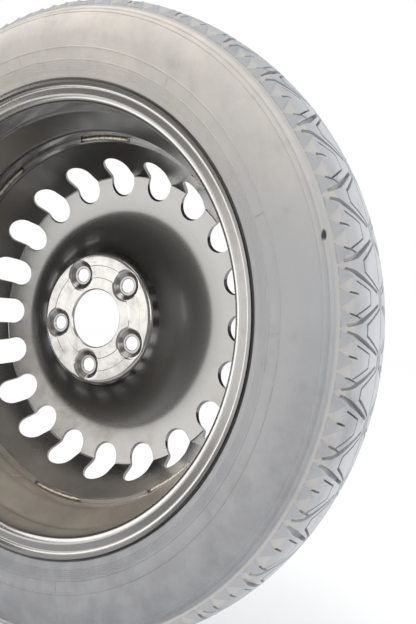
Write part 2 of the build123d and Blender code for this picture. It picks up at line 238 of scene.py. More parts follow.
# Valve: (radius, height) points along its own axis, from the rim's street face
VALVE_TILT = 30.0
VALVE_UP_SLOPE = 7.0
VALVE_HOLE_R = 5.75
VALVE_HOLE_DEPTH = 14
VALVE_BODY = (
    (3.15, -8.4), (5.55, -8.4), (6.8, -2.8), (5.55, -2.8), (5.55, 0.2), (6.4, 0.2), (4.8, 6.2), (4.8, 11.0),
    (3.15, 11.0),
)
VALVE_BODY_RADII = (0, 0.8, 0.6, 0, 0, 0.7, 4.0, 0.7, 0)
STEM_FOOT = ((1.25, -7.0), (3.1, -7.0), (3.1, 11.05), (3.55, 11.05))
STEM_TOP = ((3.55, 20.5), (2.3, 20.5), (2.3, 5.5), (1.25, 5.5))
THREAD_TURN = ((3.55, 0.0), (3.84, 0.3), (3.84, 0.5), (3.55, 0.8))
THREAD_START = 11.5
THREAD_PITCH = 0.8
THREAD_TURNS = 11
CAP_R = 4.5
CAP = ((3.91, 11.5), (CAP_R, 11.5), (CAP_R, 21.5), (3.7, 22.5), (0, 22.5), (0, 21.7), (3.91, 21.7))
KNURL_HEIGHT = 0.18
SPRING_R = 1.15
SPRING_WIRE_R = 0.175
SPRING_LOW = 10.625
SPRING_RUN = 4.15
SPRING_TURNS = 3
SPRING_TURN_STEPS = 28
WIRE_SIDES = 10

# Where finishes change, in metres in the frame, as (mark is full, mark is gone): R from the axle, Y along
# it and Z upwards
# The hub pad is lightened with a painted sheen
PAD_SHEEN_R = (0.0725, 0.0740)
PAD_SHEEN_Y = (0.0012, 0.0022)
EDGE_RUB_R = (0.1935, 0.1925)
EDGE_RUB_Y = (-0.0256, -0.0250)
# The disc's bowl is darkened with painted shade between these radii
PAINTED_SHADE_BOWL_IN_R = (0.080, 0.0745)
PAINTED_SHADE_BOWL_OUT_R = (0.104, 0.152)
# Brown painted reflection low in the barrel and on the skirt
BARREL_REFLECTION_R = (0.2120, 0.2140)
SKIRT_REFLECTION_R = (0.1860, 0.1720)
LOW_REFLECTION_Z = (-0.17, -0.02)
# The tyre grows greyer and then paler towards the top
UPPER_GREY_Z = (0.02, -0.28)
TOP_PALE_Z = (0.28, 0.04)
SHOULDER_DUST_R = (0.2995, 0.2980)
RUBBED_EDGE_R = (0.3105, 0.3075)
# The tread takes a lighter, bluish tone
TREAD_TONE_R = (0.3168, 0.3115)
NICK_AT = (0.2823, -0.1102, 0.0890)
NICK_SCALE = (1.0, 1.0, 0.42)
NICK_REACH = (0.0015, 0.0026)
NICK_COLOUR = (0.04, 0.04, 0.042)


def turn_about_axle(degrees):
    """Turn from +X towards +Z."""
    return Matrix.Rotation(-radians(degrees), 4, "Y")


def shifted(points, distance):
    """Points of a line moved to its left by a distance."""
    sides = [(Vector(b) - Vector(a)).normalized() for a, b in zip(points, points[1:])]
    sides = [sides[0], *sides, sides[-1]]
    moved = []
    for point, u, v in zip(points, sides, sides[1:]):
        reach = distance / (1 + u.dot(v))
        moved.append((point[0] - (u.y + v.y) * reach, point[1] + (u.x + v.x) * reach))
    return moved


def sheet_outline(points, radii, thickness):
    """Closed outline of a bent sheet, with a radius for every corner."""
    far_radii = []
    for a, b, c, radius in zip(points, points[1:], points[2:], radii):
        turn = (Vector(b) - Vector(a)).cross(Vector(c) - Vector(b))
        far_radii.append(max(radius - thickness, 0) if turn > 0 else radius + thickness)
    corners = list(points) + shifted(points, thickness)[::-1]
    return corners, [0, *radii, 0, 0, *far_radii[::-1], 0]


def round_corner(bm, vert, radius, fine):
    """Gives one corner of a wire outline its radius."""
    before, after = (edge.other_vert(vert).co - vert.co for edge in vert.link_edges)
    opening = before.angle(after)
    segments = max(2, round((pi - opening) / radians(fine)))
    bmesh.ops.bevel(
        bm, geom=[vert], offset=radius / tan(opening / 2), offset_type="OFFSET", segments=segments,
        profile=0.5, affect="VERTICES", material=-1, clamp_overlap=False,
    )


def outline(points, radii=(), closed=True, fine=9.0):
    """Wire of (radius, y) points in the plane of the axle and +X."""
    bm = bmesh.new()
    verts = [bm.verts.new((r, y, 0)) for r, y in points]
    for pair in zip(verts, verts[1:]):
        bm.edges.new(pair)
    if closed:
        bm.edges.new((verts[-1], verts[0]))
    for vert, radius in zip(verts, radii):
        if radius > 0:
            round_corner(bm, vert, radius, fine)
    return bm


def made(result, kind):
    """Verts, edges or faces among the parts that an operator gives back."""
    return [part for part in result["geom"] if isinstance(part, kind)]


def faced_out(bm):
    """Turns every face outwards."""
    bmesh.ops.recalc_face_normals(bm, faces=bm.faces)
    return bm


def swept(bm, angle, steps, geom=None, **options):
    """Sweeps a whole bmesh, or some of it, about the axle."""
    settings = {"cent": (0, 0, 0), "axis": (0, 1, 0), "dvec": (0, 0, 0), **options}
    whole = bm.verts[:] + bm.edges[:] + bm.faces[:]
    bmesh.ops.spin(bm, geom=geom or whole, angle=angle, steps=steps, **settings)


def spun(bm, steps):
    """Turns a wire outline once round the axle into a closed skin."""
    swept(bm, ROUND, steps, use_merge=True)
    bmesh.ops.remove_doubles(bm, verts=bm.verts, dist=TOUCH)
    return faced_out(bm)


def repeated(bm, count):
    """Repeats everything evenly round the axle."""
    swept(bm, ROUND * (count - 1) / count, count - 1, use_duplicate=True)
    return bm


def joined(*parts):
    """One bmesh that holds several."""
    whole = bmesh.new()
    for part in parts:
        mesh = bpy.data.meshes.new("part")
        part.to_mesh(mesh)
        part.free()
        whole.from_mesh(mesh)
        bpy.data.meshes.remove(mesh)
    return whole


def placed(bm, matrix):
    """Moves a whole bmesh."""
    bmesh.ops.transform(bm, matrix=matrix, space=Matrix.Identity(4), verts=bm.verts)
    return bm


def loose_object(name, bm):
    """Object in the scene that holds a bmesh."""
    mesh = bpy.data.meshes.new(name)
    bm.to_mesh(mesh)
    bm.free()
    holder = bpy.data.objects.new(name, mesh)
    bpy.context.scene.collection.objects.link(holder)
    return holder


def combined(bm, tools):
    """Adds bmeshes to a solid, or cuts them from it, in order. Tools are (operation, bmesh)."""
    body = loose_object("blank", bm)
    helpers = [body]
    for operation, tool_bm in tools:
        tool = loose_object("tool", tool_bm)
        helpers.append(tool)
        cut = body.modifiers.new(operation, "BOOLEAN")
        cut.operation = operation
        cut.solver = "EXACT"
        cut.object = tool
    evaluated = body.evaluated_get(bpy.context.evaluated_depsgraph_get())
    result = bmesh.new()
    result.from_mesh(evaluated.to_mesh())
    evaluated.to_mesh_clear()
    for helper in helpers:
        mesh = helper.data
        bpy.data.objects.remove(helper)
        bpy.data.meshes.remove(mesh)
    return result


def finished(bm, name, material, body, nodes, sharp=32.0):
    """Puts a piece in the frame with its shading, finish and body."""
    placed(bm, TO_FRAME)
    for face in bm.faces:
        face.smooth = True
        face.material_index = 0
    for edge in bm.edges:
        edge.smooth = len(edge.link_faces) == 2 and edge.calc_face_angle(0.0) < radians(sharp)
    mesh = bpy.data.meshes.new(name)
    bm.to_mesh(mesh)
    bm.free()
    mesh.materials.append(material)
    piece = bpy.data.objects.new(name, mesh)
    bpy.context.scene.collection.objects.link(piece)
    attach(piece, body)
    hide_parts(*nodes)
    return piece


# Finishes

def shader_group(name, inputs, outputs):
    """Empty node group with its sockets, and whether it still has to be filled."""
    found = bpy.data.node_groups.get(name)
    if found:
        return found, False
    group = bpy.data.node_groups.new(name, "ShaderNodeTree")
    for label, kind, default in inputs:
        socket = group.interface.new_socket(label, in_out="INPUT", socket_type=kind)
        if default is not None:
            socket.default_value = default
    for label, kind in outputs:
        group.interface.new_socket(label, in_out="OUTPUT", socket_type=kind)
    return group, True


def add(tree, kind, **settings):
    """New node with its settings. Keys that start with in_ set the input of that number."""
    node = tree.nodes.new(kind)
    for key, value in settings.items():
        if key.startswith("in_"):
            node.inputs[int(key[3:])].default_value = value
        else:
            setattr(node, key, value)
    return node


def grain_group():
    """Fine grain of a surface as a height from 0 to 1."""
    group, empty = shader_group(
        "fine_grain",
        (("Vector", "NodeSocketVector", None), ("Scale", "NodeSocketFloat", 400.0)),
        (("Height", "NodeSocketFloat"),),
    )
    if empty:
        start = add(group, "NodeGroupInput")
        end = add(group, "NodeGroupOutput")
        noise = add(group, "ShaderNodeTexNoise")
        noise.inputs["Detail"].default_value = 4.0
        for label in ("Vector", "Scale"):
            group.links.new(start.outputs[label], noise.inputs[label])
        group.links.new(noise.outputs["Fac"], end.inputs["Height"])
    return group


def dust_group():
    """Dust that lies in clouds, with specks in it, as a mask from 0 to 1."""
    group, empty = shader_group(
        "dust_clouds",
        (
            ("Vector", "NodeSocketVector", None),
            ("Scale", "NodeSocketFloat", 8.0),
            ("Low", "NodeSocketFloat", 0.4),
            ("High", "NodeSocketFloat", 0.7),
        ),
        (("Mask", "NodeSocketFloat"),),
    )
    if empty:
        start = add(group, "NodeGroupInput")
        end = add(group, "NodeGroupOutput")
        cloud = add(group, "ShaderNodeTexNoise")
        cloud.inputs["Detail"].default_value = 6.0
        cloud.inputs["Roughness"].default_value = 0.62
        edge = add(group, "ShaderNodeMapRange", interpolation_type="SMOOTHSTEP")
        for label in ("Vector", "Scale"):
            group.links.new(start.outputs[label], cloud.inputs[label])
        group.links.new(cloud.outputs["Fac"], edge.inputs["Value"])
        group.links.new(start.outputs["Low"], edge.inputs["From Min"])
        group.links.new(start.outputs["High"], edge.inputs["From Max"])
        group.links.new(edge.outputs["Result"], end.inputs["Mask"])
    return group


def placed_group(tree, group, vector, **values):
    """Output of a group in a material, fed with a vector and its own values."""
    node = add(tree, "ShaderNodeGroup", node_tree=group)
    tree.links.new(vector, node.inputs["Vector"])
    for key, value in values.items():
        node.inputs[key].default_value = value
    return node.outputs[0]


def mixed(tree, factor, first, second):
    """Colour mix of two colours or sockets by a mask."""
    node = add(tree, "ShaderNodeMix", data_type="RGBA")
    for place, value in ((6, first), (7, second)):
        if isinstance(value, bpy.types.NodeSocket):
            tree.links.new(value, node.inputs[place])
        else:
            node.inputs[place].default_value = (*value, 1)
    tree.links.new(factor, node.inputs[0])
    return node.outputs[2]


def spread(tree, value, low, high):
    """Maps a mask from 0 and 1 to two values."""
    node = add(tree, "ShaderNodeMapRange")
    node.inputs["To Min"].default_value = low
    node.inputs["To Max"].default_value = high
    tree.links.new(value, node.inputs["Value"])
    return node.outputs["Result"]


def bumped(tree, shader, height, strength, distance):
    """Bump from a height on the shader's normal."""
    bump = add(tree, "ShaderNodeBump")
    bump.inputs["Strength"].default_value = strength
    bump.inputs["Distance"].default_value = distance
    tree.links.new(height, bump.inputs["Height"])
    tree.links.new(bump.outputs["Normal"], shader.inputs["Normal"])


def fresh_material(name):
    """Material with a shader, and the object's own coordinates."""
    material = bpy.data.materials.new(name)
    material.use_nodes = True
    tree = material.node_tree
    shader = tree.nodes["Principled BSDF"]
    coords = add(tree, "ShaderNodeTexCoord").outputs["Object"]
    return material, tree, shader, coords


def two_tone(tree, shader, mask, tones, roughs):
    """Takes the shader from one colour and roughness to another by a mask."""
    tree.links.new(mixed(tree, mask, *tones), shader.inputs["Base Color"])
    tree.links.new(spread(tree, mask, *roughs), shader.inputs["Roughness"])


def paint_finish(name, colour, dust_colour, rough):
    """Gloss paint with a faint orange peel and a little dust."""
    material, tree, shader, coords = fresh_material(name)
    dust = placed_group(tree, dust_group(), coords, Scale=9.0, Low=0.5, High=0.78)
    grain = placed_group(tree, grain_group(), coords, Scale=900.0)
    two_tone(tree, shader, dust, (colour, dust_colour), (rough, rough + 0.12))
    shader.inputs["Metallic"].default_value = 1.0
    shader.inputs["Coat Weight"].default_value = 0.25
    shader.inputs["Coat Roughness"].default_value = 0.12
    bumped(tree, shader, grain, 0.05, 0.0004)
    return material


def within(tree, value, full, none):
    """Mask that is 1 up to one value and fades to 0 at another."""
    fade = add(tree, "ShaderNodeMapRange", interpolation_type="SMOOTHSTEP")
    fade.inputs["From Min"].default_value = none
    fade.inputs["From Max"].default_value = full
    tree.links.new(value, fade.inputs["Value"])
    return fade.outputs["Result"]


def reckoned(tree, operation, first, second):
    """Result of a maths node for two values."""
    node = add(tree, "ShaderNodeMath", operation=operation)
    tree.links.new(first, node.inputs[0])
    tree.links.new(second, node.inputs[1])
    return node.outputs[0]


def product(tree, first, second):
    """Two masks multiplied."""
    return reckoned(tree, "MULTIPLY", first, second)


def highest(tree, first, second):
    """The larger of two values."""
    return reckoned(tree, "MAXIMUM", first, second)


def length_of(tree, vector):
    """Length of a vector."""
    node = add(tree, "ShaderNodeVectorMath", operation="LENGTH")
    tree.links.new(vector, node.inputs[0])
    return node.outputs["Value"]


def axle_place(tree, coords):
    """Distance from the axle, and the coordinates along it and upwards."""
    parts = add(tree, "ShaderNodeSeparateXYZ")
    tree.links.new(coords, parts.inputs[0])
    flat = add(tree, "ShaderNodeCombineXYZ")
    for axis in "XZ":
        tree.links.new(parts.outputs[axis], flat.inputs[axis])
    return length_of(tree, flat.outputs[0]), parts.outputs["Y"], parts.outputs["Z"]


def parts_of(material):
    """Node tree, shader and object coordinates of a finish."""
    tree = material.node_tree
    return tree, tree.nodes["Principled BSDF"], tree.nodes["Texture Coordinate"].outputs["Object"]


def cover(tree, shader, mask, colour):
    """Lays a colour over the shader's own by a mask."""
    under = shader.inputs["Base Color"].links[0].from_socket
    tree.links.new(mixed(tree, mask, under, colour), shader.inputs["Base Color"])


def roughen(tree, shader, mask, most):
    """Raises the shader's roughness to a value by a mask."""
    under = shader.inputs["Roughness"].links[0].from_socket
    tree.links.new(highest(tree, under, spread(tree, mask, 0.0, most)), shader.inputs["Roughness"])


def paint_pad_sheen_and_rub_edge(material, sheen_and_wear_colour):
    """Lightens the disc's hub pad with a painted sheen in streaks, and rubs the skirt's cut edge, where the
    paint is worn thin and bright.
    """
    tree, shader, coords = parts_of(material)
    radius, along, _ = axle_place(tree, coords)
    pad = product(tree, within(tree, radius, *PAD_SHEEN_R), within(tree, along, *PAD_SHEEN_Y))
    edge = product(tree, within(tree, radius, *EDGE_RUB_R), within(tree, along, *EDGE_RUB_Y))
    streaks = placed_group(tree, dust_group(), coords, Scale=55.0, Low=0.2, High=0.62)
    cover(tree, shader, product(tree, highest(tree, pad, edge), streaks), sheen_and_wear_colour)
    roughen(tree, shader, edge, 0.55)


def paint_bowl_shade(material, colour):
    """Darkens the disc's bowl with painted shade, and dulls its paint."""
    tree, shader, coords = parts_of(material)
    radius, _, _ = axle_place(tree, coords)
    bowl = product(tree, within(tree, radius, *PAINTED_SHADE_BOWL_IN_R), within(tree, radius, *PAINTED_SHADE_BOWL_OUT_R))
    cover(tree, shader, bowl, colour)
    roughen(tree, shader, bowl, 0.4)


def paint_low_reflection(material, colour, reach, most):
    """Lays a brown painted reflection along the bottom, over a reach of radius and up to a share of most."""
    tree, shader, coords = parts_of(material)
    radius, _, up = axle_place(tree, coords)
    clouds = placed_group(tree, dust_group(), coords, Scale=14.0, Low=0.2, High=0.7)
    low = product(tree, within(tree, up, *LOW_REFLECTION_Z), within(tree, radius, *reach))
    share = product(tree, low, spread(tree, clouds, 0.6 * most, most))
    cover(tree, shader, share, colour)
    tree.links.new(spread(tree, share, 1.0, 0.0), shader.inputs["Metallic"])


def rubber_finish(name, colour, dust_colour, rough, scale):
    """Matt rubber with dust in clouds and a fine grain."""
    material, tree, shader, coords = fresh_material(name)
    dust = placed_group(tree, dust_group(), coords, Scale=scale, Low=0.35, High=0.7)
    grain = placed_group(tree, grain_group(), coords, Scale=700.0)
    two_tone(tree, shader, dust, (colour, dust_colour), (rough, rough + 0.15))
    bumped(tree, shader, grain, 0.25, 0.0006)
    return material


def nick_distance(tree, coords):
    """Distance from the nick in the tyre's shoulder, drawn out upwards."""
    vector = coords
    for operation, value in (("SUBTRACT", NICK_AT), ("MULTIPLY", NICK_SCALE)):
        node = add(tree, "ShaderNodeVectorMath", operation=operation, in_1=value)
        tree.links.new(vector, node.inputs[0])
        vector = node.outputs[0]
    return length_of(tree, vector)


def tyre_finish(settings):
    """Tyre rubber under its dust, its lighter tones towards the top and on the tread, and marks, laid on one
    after another.
    """
    material, tree, shader, coords = fresh_material("tyre_rubber")
    radius, _, up = axle_place(tree, coords)
    clouds = placed_group(tree, dust_group(), coords, Scale=5.5, Low=0.22, High=0.66)
    fine = placed_group(tree, dust_group(), coords, Scale=42.0, Low=0.36, High=0.68)
    stains = placed_group(tree, dust_group(), coords, Scale=15.0, Low=0.54, High=0.74)
    grain = placed_group(tree, grain_group(), coords, Scale=900.0)
    share = spread(tree, clouds, 0.55, 1.0)
    kind = add(tree, "ShaderNodeAttribute", attribute_name="kind").outputs["Fac"]
    rubbed = highest(tree, within(tree, kind, *RUBBED_KIND), within(tree, radius, *RUBBED_EDGE_R))
    layers = (
        # Greyer and then paler towards the top of the tyre
        (product(tree, within(tree, up, *UPPER_GREY_Z), share), settings.dust_colour),
        (product(tree, within(tree, up, *TOP_PALE_Z), share), settings.top_pale_colour),
        (within(tree, radius, *SHOULDER_DUST_R), settings.shoulder_dust_colour),
        (rubbed, settings.pad_colour),
        # Lighter, bluish tone on the tread
        (product(tree, within(tree, radius, *TREAD_TONE_R), share), settings.tread_tone_colour),
        (spread(tree, fine, 0.0, 0.3), settings.dust_colour),
        (spread(tree, stains, 0.0, 0.4), settings.stain_colour),
        (within(tree, nick_distance(tree, coords), *NICK_REACH), NICK_COLOUR),
    )
    surface = settings.rubber_colour
    for mask, colour in layers:
        surface = mixed(tree, mask, surface, colour)
    tree.links.new(surface, shader.inputs["Base Color"])
    tree.links.new(spread(tree, clouds, 0.58, 0.78), shader.inputs["Roughness"])
    bumped(tree, shader, grain, 0.3, 0.0006)
    return material


def metal_finish(name, colour, worn_colour, rough):
    """Bare metal, a little uneven."""
    material, tree, shader, coords = fresh_material(name)
    wear = placed_group(tree, dust_group(), coords, Scale=300.0, Low=0.4, High=0.65)
    two_tone(tree, shader, wear, (colour, worn_colour), (rough, rough + 0.15))
    shader.inputs["Metallic"].default_value = 1.0
    return material


# Settings

def colour_setting(name, description, default):
    """Colour that the panel offers."""
    return FloatVectorProperty(name=name, description=description, default=default, subtype="COLOR")


class TyreSettings(bpy.types.PropertyGroup):
    groove_depth: FloatProperty(
        name="Groove depth", description="Depth of the tread's grooves", default=0.004, unit="LENGTH",
    )
    triangle_height: FloatProperty(
        name="Triangle height", description="Height of the pads along the shoulder", default=0.0008,
        unit="LENGTH",
    )
    rubber_colour: colour_setting("Rubber", "Colour of the rubber under its dust", (0.225, 0.229, 0.243))
    dust_colour: colour_setting("Dust", "Colour of the dust on the rubber", (0.42, 0.424, 0.436))
    # Colour that the sidewall takes towards the top
    top_pale_colour: colour_setting(
        "Pale dust", "Colour of the dust on the upper sidewall", (0.79, 0.725, 0.645),
    )
    # Lighter, bluish tone laid on the tread
    tread_tone_colour: colour_setting("Tread dust", "Colour of the dust on the tread", (0.52, 0.528, 0.552))
    shoulder_dust_colour: colour_setting(
        "Shoulder dust", "Colour of the dust between the shoulder's pads", (0.49, 0.48, 0.462),
    )
    pad_colour: colour_setting(
        "Pads", "Colour of the rubbed pads and of the tread's edge", (0.39, 0.398, 0.42),
    )
    stain_colour: colour_setting("Stains", "Colour of the darker stains on the rubber", (0.19, 0.188, 0.19))


class RimSettings(bpy.types.PropertyGroup):
    steps: IntProperty(name="Steps", description="Steps round the rim and the disc", default=240)
    paint_colour: colour_setting("Paint", "Colour of the paint on rim and disc", (0.24, 0.238, 0.234))
    paint_dust: colour_setting("Paint dust", "Colour of the dust on the paint", (0.19, 0.18, 0.162))
    weld_colour: colour_setting("Welds", "Colour of the paint on the welds", (0.44, 0.40, 0.335))
    # The hub pad's lighter colour is a painted sheen
    pad_colour: colour_setting("Hub pad", "Colour of the thin paint on the hub pad", (0.38, 0.375, 0.364))
    # The bowl's colour is painted shade, darker than the paint round it
    bowl_painted_shade: colour_setting("Bowl", "Colour of the paint in the disc's bowl", (0.135, 0.134, 0.131))
    # A brown painted reflection, laid low in the barrel and on the skirt
    barrel_painted_reflection: colour_setting(
        "Barrel dust", "Colour of the dust that lies in the barrel", (0.30, 0.262, 0.215),
    )


class ValveSettings(bpy.types.PropertyGroup):
    rubber_colour: colour_setting("Rubber", "Colour of the valve's rubber", (0.02, 0.02, 0.02))
    knurl_count: IntProperty(name="Knurls", description="Ribs round the cap", default=20)


class StageSettings(bpy.types.PropertyGroup):
    floor_colour: colour_setting("Floor", "Colour of the floor", (0.96, 0.96, 0.96))
    soft_boxes: FloatProperty(
        name="Soft boxes", description="Share of their usual brightness", default=1.0, subtype="FACTOR",
    )


# Tyre

def crown_radius(y):
    """Radius of the tread's surface at a distance from the centre plane."""
    y = abs(y)
    if y <= TREAD_HALF:
        drop = TYRE_R - TREAD_EDGE_R
        bow = (TREAD_HALF ** 2 + drop ** 2) / (2 * drop)
        return TYRE_R - bow + sqrt(bow ** 2 - y ** 2)
    share = (y - TREAD_HALF) / (SHOULDER_Y - TREAD_HALF)
    return TREAD_EDGE_R + (SHOULDER_R - TREAD_EDGE_R) * share


def pitch_angles():
    """Angle where each pitch starts. Their three lengths are mixed, so that the tyre hums less."""
    whole = sum(PITCH_SIZES[kind] for kind in PITCH_ORDER)
    angles = [FIRST_PITCH]
    for kind in PITCH_ORDER:
        angles.append(angles[-1] - PITCH_SIZES[kind] * 360 / whole)
    return angles


def plan_point(share, y):
    """Point of the flat tread plan."""
    return Vector(((share - PLAN_START) * PLAN_PITCH, y, 0))


def groove_quads(line, widths):
    """Four-cornered outlines that cover a groove, mitred where it bends."""
    points = [plan_point(share, y) for share, y in line]
    sides = [(b - a).normalized() for a, b in zip(points, points[1:])]
    sides = [sides[0], *sides, sides[-1]]
    edges = []
    for point, width, u, v in zip(points, widths, sides, sides[1:]):
        across = Vector((-(u.y + v.y), u.x + v.x, 0)) * (width / 2 / (1 + u.dot(v)))
        edges.append((point + across, point - across))
    return [(a[0], b[0], b[1], a[1]) for a, b in zip(edges, edges[1:])]


def mark_inside(bm, corners, layer, kind):
    """Cuts the flat plan along a convex outline and marks the faces inside it."""
    low = [min(c[k] for c in corners) for k in (0, 1)]
    high = [max(c[k] for c in corners) for k in (0, 1)]
    faces = []
    for face in bm.faces:
        spans = [[vert.co[k] for vert in face.verts] for k in (0, 1)]
        if all(min(s) < h and max(s) > l for s, l, h in zip(spans, low, high)):
            faces.append(face)
    centre = sum(corners, Vector()) / len(corners)
    for a, b in zip(corners, (*corners[1:], corners[0])):
        out = Vector((b.y - a.y, a.x - b.x, 0)).normalized()
        if out.dot(centre - a) > 0:
            out.negate()
        near = {part for face in faces for part in (face, *face.edges, *face.verts)}
        cut = bmesh.ops.bisect_plane(bm, geom=list(near), dist=TOUCH, plane_co=a, plane_no=out)
        faces = [face for face in made(cut, BMFace) if out.dot(face.calc_center_median() - a) < 0]
    for face in faces:
        face[layer] = kind


def tread_plan(depth, pad_height):
    """One flat pitch of the tread, with its grooves sunk and its shoulder pads raised."""
    bm = bmesh.new()
    bmesh.ops.create_grid(bm, x_segments=6, y_segments=22, size=0.5)
    bmesh.ops.scale(bm, vec=(PLAN_PITCH, 2 * PLAN_EDGE, 1), verts=bm.verts)
    bmesh.ops.translate(bm, vec=(PLAN_PITCH / 2, 0, 0), verts=bm.verts)
    layer = bm.faces.layers.int.new("kind")
    grooves = []
    for line, widths in GROOVES:
        far_line = [(MIRROR_SHARE - share, -y) for share, y in line]
        grooves += groove_quads(line, widths) + groove_quads(far_line, widths)
    grooves += groove_quads(*CENTRE_GROOVE)
    pads = []
    for tip in TRIANGLE_TIPS:
        corners = [(tip + share, y) for share, y in TRIANGLE]
        pads.append([plan_point(share, y) for share, y in corners])
        pads.append([plan_point(MIRROR_SHARE - share, -y) for share, y in corners])
    for kind, group in ((PAD, pads), (GROOVE, grooves)):
        for corners in group:
            for shift in (-1, 0, 1):
                moved = [corner + Vector((shift * PLAN_PITCH, 0, 0)) for corner in corners]
                if min(c.x for c in moved) < PLAN_PITCH - SLACK and max(c.x for c in moved) > SLACK:
                    mark_inside(bm, moved, layer, kind)
    for kind, height in ((GROOVE, -depth), (PAD, pad_height)):
        faces = [face for face in bm.faces if face[layer] == kind]
        moved = bmesh.ops.extrude_face_region(bm, geom=faces)
        bmesh.ops.translate(bm, vec=(0, 0, height), verts=made(moved, BMVert))
        bmesh.ops.delete(bm, geom=[face for face in faces if face.is_valid], context="FACES_ONLY")
    ends = [
        face for face in bm.faces
        if any(all(abs(vert.co.x - end) < TOUCH for vert in face.verts) for end in (0, PLAN_PITCH))
    ]
    bmesh.ops.delete(bm, geom=ends, context="FACES_ONLY")
    return bm


def tread_ring(depth, pad_height):
    """Whole tread, from pitches laid in a row and wrapped round the tyre."""
    bm = tread_plan(depth, pad_height)
    swept(bm, 0, PITCHES - 1, axis=(0, 0, 1), dvec=(PLAN_PITCH, 0, 0), use_duplicate=True)
    angles = pitch_angles()
    lengths = [a - b for a, b in zip(angles, angles[1:])]
    for vert in bm.verts:
        place = vert.co.x / PLAN_PITCH + PLAN_START
        pitch = min(max(int(place + 1) - 1, -1), PITCHES - 1)
        first = angles[pitch] if pitch >= 0 else angles[0] + lengths[-1]
        angle = radians(first - lengths[pitch] * (place - pitch))
        radius = crown_radius(vert.co.y) + vert.co.z
        vert.co = (radius * cos(angle), vert.co.y, radius * sin(angle))
    bmesh.ops.remove_doubles(bm, verts=bm.verts, dist=PITCH_MERGE)
    return bm


def arc_y(r, ends):
    """Distance from the centre plane on the arc through three points, at a radius."""
    (ax, ay), (bx, by), (cx, cy) = ends
    d = 2 * (ax * (by - cy) + bx * (cy - ay) + cx * (ay - by))
    a2, b2, c2 = ax * ax + ay * ay, bx * bx + by * by, cx * cx + cy * cy
    x0 = (a2 * (by - cy) + b2 * (cy - ay) + c2 * (ay - by)) / d
    y0 = (a2 * (cx - bx) + b2 * (ax - cx) + c2 * (bx - ax)) / d
    reach = hypot(ax - x0, ay - y0)
    return y0 + sqrt(max(reach ** 2 - (r - x0) ** 2, 0))


def side_y(r):
    """Distance of the sidewall's face from the centre plane, at a radius."""
    if r > WIDEST[0]:
        return arc_y(r, ((SHOULDER_R, SHOULDER_Y), UPPER_MID, WIDEST))
    return arc_y(r, (WIDEST, SIDE_MID, SIDE_FOOT))


def side_point(r, height):
    """Point on the sidewall, raised off its face."""
    slope = (side_y(r + 0.1) - side_y(r - 0.1)) / 0.2
    size = hypot(slope, 1)
    return r - slope / size * height, side_y(r) + height / size


def sidewall_points():
    """Section of one side from the shoulder to the liner's middle, with its moulded ribs."""
    marks = [(r, 0.0) for r in (SHOULDER_R - SHOULDER_STEP, *PLAIN_RADII)]
    for r, width, height in RIBS:
        foot, top = width / 2, width / 4
        marks += [(r + foot, 0.0), (r + top, height), (r - top, height), (r - foot, 0.0)]
    points = [side_point(r, height) for r, height in sorted(marks, reverse=True)]
    return [*points, *CURL, *TYRE_BEAD, *LINER]


def extend_ring(bm, edges, points, side):
    """Carries a ring of edges along a section, and gives back the last ring."""
    for radius, y in points:
        grown = bmesh.ops.extrude_edge_only(bm, edges=edges)
        edges = made(grown, BMEdge)
        for vert in made(grown, BMVert):
            angle = atan2(vert.co.z, vert.co.x)
            vert.co = (radius * cos(angle), side * y, radius * sin(angle))
    return edges


def mould_lines():
    """Thin radial ribs left by the joints of the mould's side plates."""
    bm = bmesh.new()
    r, reach = MOULD_LINE_R, MOULD_LINE_REACH
    tilt = atan2(side_y(r - reach) - side_y(r + reach), 2 * reach)
    size = Matrix.Diagonal((*MOULD_LINE_SIZE, 1))
    for angle in MOULD_LINES:
        for side in (-1, 1):
            at = Matrix.Translation((r, side * side_y(r), 0)) @ Matrix.Rotation(-side * tilt, 4, "Z")
            turn = turn_about_axle(angle + MOULD_LINE_STAGGER * side)
            bmesh.ops.create_cube(bm, size=1, matrix=turn @ at @ size)
    return bm


def tyre_bmesh(settings):
    """Tread, sidewalls, beads and liner as one skin."""
    bm = tread_ring(settings.groove_depth / MM, settings.triangle_height / MM)
    last = []
    for side in (-1, 1):
        ring = [
            edge for edge in bm.edges
            if edge.is_boundary and all(vert.co.y * side > PLAN_EDGE - EDGE_BAND for vert in edge.verts)
        ]
        last += extend_ring(bm, ring, sidewall_points(), side)
    bmesh.ops.bridge_loops(bm, edges=last)
    return joined(faced_out(bm), mould_lines())


class WHEEL_OT_tyre(bpy.types.Operator):
    """Model the tyre with its tread, ribs and beads"""

    bl_idname = "spare_wheel.tyre"
    bl_label = "Tyre"

    def execute(self, context):
        settings = context.scene.spare_tyre
        finished(tyre_bmesh(settings), "tyre_moulded", tyre_finish(settings), "wheel", ["tyre"])
        return {"FINISHED"}


# Rim and disc

def seat_radius(y):
    """Radius of the tapered bead seat."""
    return BEAD_R - (RIM_HALF - abs(y)) * tan(radians(SEAT_TAPER))


def valve_matrix():
    """Place of the valve: Y along its own axis, from the rim's street face."""
    along = Vector((-sin(radians(VALVE_TILT)), cos(radians(VALVE_TILT)), 0))
    slope = Vector((cos(radians(VALVE_TILT)), sin(radians(VALVE_TILT)), 0))
    foot = Vector((WELL_R, WELL_END, 0)) + slope * VALVE_UP_SLOPE + along * RIM_SHEET
    basis = Matrix((slope, along, Vector((0, 0, 1)))).transposed().to_4x4()
    return turn_about_axle(VENT_PHASE) @ Matrix.Translation(foot) @ basis


